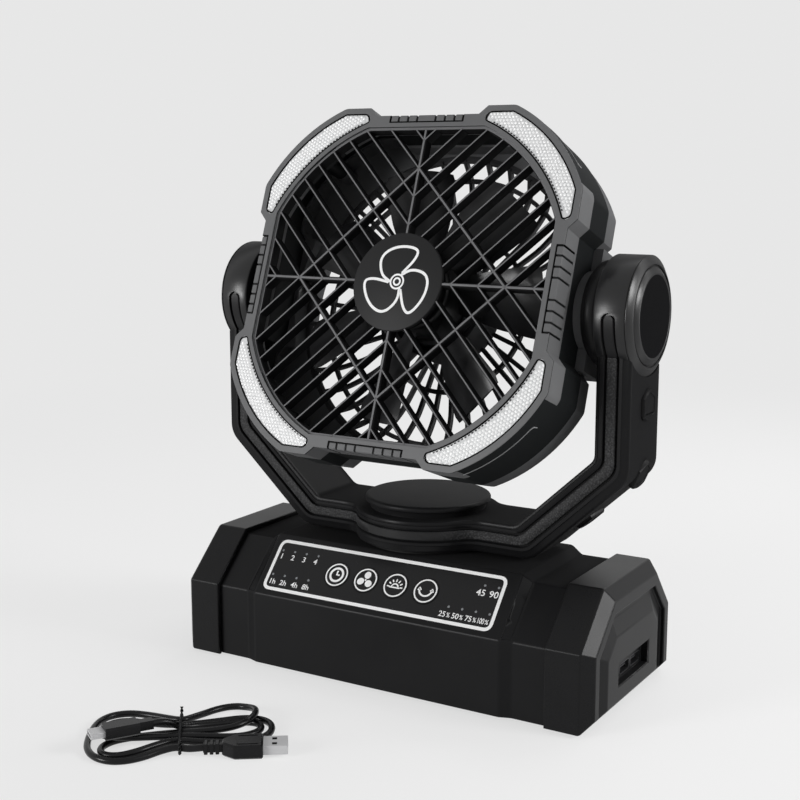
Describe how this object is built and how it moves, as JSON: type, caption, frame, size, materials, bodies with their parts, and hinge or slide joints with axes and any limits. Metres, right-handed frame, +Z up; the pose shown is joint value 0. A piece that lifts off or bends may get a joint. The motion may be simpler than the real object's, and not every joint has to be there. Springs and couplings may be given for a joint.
{
  "type": "portable camping fan",
  "caption": "Rechargeable table fan with corner lamps: square head tilting in a yoke that swings on a battery base with control panel, plus a tied charging cable.",
  "frame": {"origin": "on the surface the fan stands on, under the yoke's swing axis; the origin is the middle of the centre foot's lower face", "axes": "+X along the base to the right as a user faces the fan, -Y to the front, +Z up"},
  "size_m": [0.2608, 0.2583, 0.3135],
  "materials": {
    "shell_black": "fine satin texture",
    "bezel_grey": "satin",
    "panel_gloss": "polished, white print",
    "lens_white": "clear-white prismatic",
    "light_pipe": "translucent",
    "fan_black": "satin",
    "badge_black": "matt, white printed fan symbol",
    "steel": "plain",
    "plug_metal": "bright plated",
    "zinc_can": "plated",
    "brass": "plain",
    "circuit_board": "solder mask",
    "cell_wrap": "shrink sleeve",
    "natural_nylon": "plain",
    "reflector": "white",
    "foot_rubber": "matt",
    "cord_black": "satin",
    "tie_black": "matt"
  },
  "bodies": {
    "base": {"base_housing": "shell_black", "base_tray": "shell_black", "left_end_cap": "shell_black", "right_end_cap": "shell_black", "control_panel": "panel_gloss", "indicator_lenses": "light_pipe", "control_board": "circuit_board", "tact_switches": "steel", "power_board": "circuit_board", "usb_a_ports": "plug_metal", "usb_c_port": "plug_metal", "battery_holder": "natural_nylon", "battery_cells": "cell_wrap", "rubber_feet": "foot_rubber", "base_screws": "steel", "swing_motor": "zinc_can", "spindle_bush": "brass", "turntable_washer": "natural_nylon", "cable_hank": "cord_black", "cable_tie": "tie_black", "usb_c_connector": "plug_metal", "usb_c_grip": "cord_black", "usb_a_connector": "plug_metal", "usb_a_grip": "cord_black"},
    "timer_key": {"timer_button": "panel_gloss"},
    "fan_key": {"fan_button": "panel_gloss"},
    "lamp_key": {"lamp_button": "panel_gloss"},
    "swing_key": {"swing_button": "panel_gloss"},
    "swing_drive": {"swing_pinion": "natural_nylon"},
    "yoke": {"yoke_frame": "shell_black", "yoke_rear_cover": "shell_black", "yoke_inlay": "bezel_grey", "turntable_cap": "shell_black", "yoke_spindle": "steel", "swing_gear": "natural_nylon", "spindle_retainer": "steel", "spindle_screws": "steel", "left_pivot_cap": "shell_black", "right_pivot_cap": "shell_black"},
    "head": {"front_bezel": "bezel_grey", "front_grille": "shell_black", "hub_cap": "badge_black", "lens_top_left": "lens_white", "lens_top_right": "lens_white", "lens_bottom_left": "lens_white", "lens_bottom_right": "lens_white", "lamp_trays": "reflector", "led_boards": "circuit_board", "grip_inserts": "shell_black", "rear_housing": "shell_black", "rear_guard": "shell_black", "fan_motor": "zinc_can", "left_friction_disc": "shell_black", "right_friction_disc": "shell_black", "pivot_pins": "steel", "head_screws": "steel"},
    "fan": {"impeller": "fan_black", "motor_shaft": "steel", "shaft_nut": "fan_black"}
  },
  "joints": [
    {"name": "yoke_swing", "type": "hinge", "parent": "base", "child": "yoke", "pos_m": [0, 0, 0.0718], "axis": [0, 0, 1], "range_deg": [-45, 45]},
    {"name": "pinion_spin", "type": "hinge", "parent": "base", "child": "swing_drive", "pos_m": [-0.03675, 0, 0.052], "axis": [0, 0, 1], "range_deg": [-112.6, 112.6]},
    {"name": "head_tilt", "type": "hinge", "parent": "yoke", "child": "head", "pos_m": [0, 0.0065, 0.2055], "axis": [-1, 0, 0], "range_deg": [-50, 70]},
    {"name": "fan_spin", "type": "hinge", "parent": "head", "child": "fan", "pos_m": [0, -0.03565, 0.22126], "axis": [0, -0.9367, 0.3502], "continuous": true},
    {"name": "timer_press", "type": "slide", "parent": "base", "child": "timer_key", "axis": [0, 0.7398, -0.6728], "range_m": [0, 0.0008], "stiffness_N_per_m": 400, "springref_m": -0.0006},
    {"name": "fan_press", "type": "slide", "parent": "base", "child": "fan_key", "axis": [0, 0.7398, -0.6728], "range_m": [0, 0.0008], "stiffness_N_per_m": 400, "springref_m": -0.0006},
    {"name": "lamp_press", "type": "slide", "parent": "base", "child": "lamp_key", "axis": [0, 0.7398, -0.6728], "range_m": [0, 0.0008], "stiffness_N_per_m": 400, "springref_m": -0.0006},
    {"name": "swing_press", "type": "slide", "parent": "base", "child": "swing_key", "axis": [0, 0.7398, -0.6728], "range_m": [0, 0.0008], "stiffness_N_per_m": 400, "springref_m": -0.0006}
  ],
  "couplings": [
    {"joint": "pinion_spin", "follows": "yoke_swing", "ratio": -2.5}
  ]
}
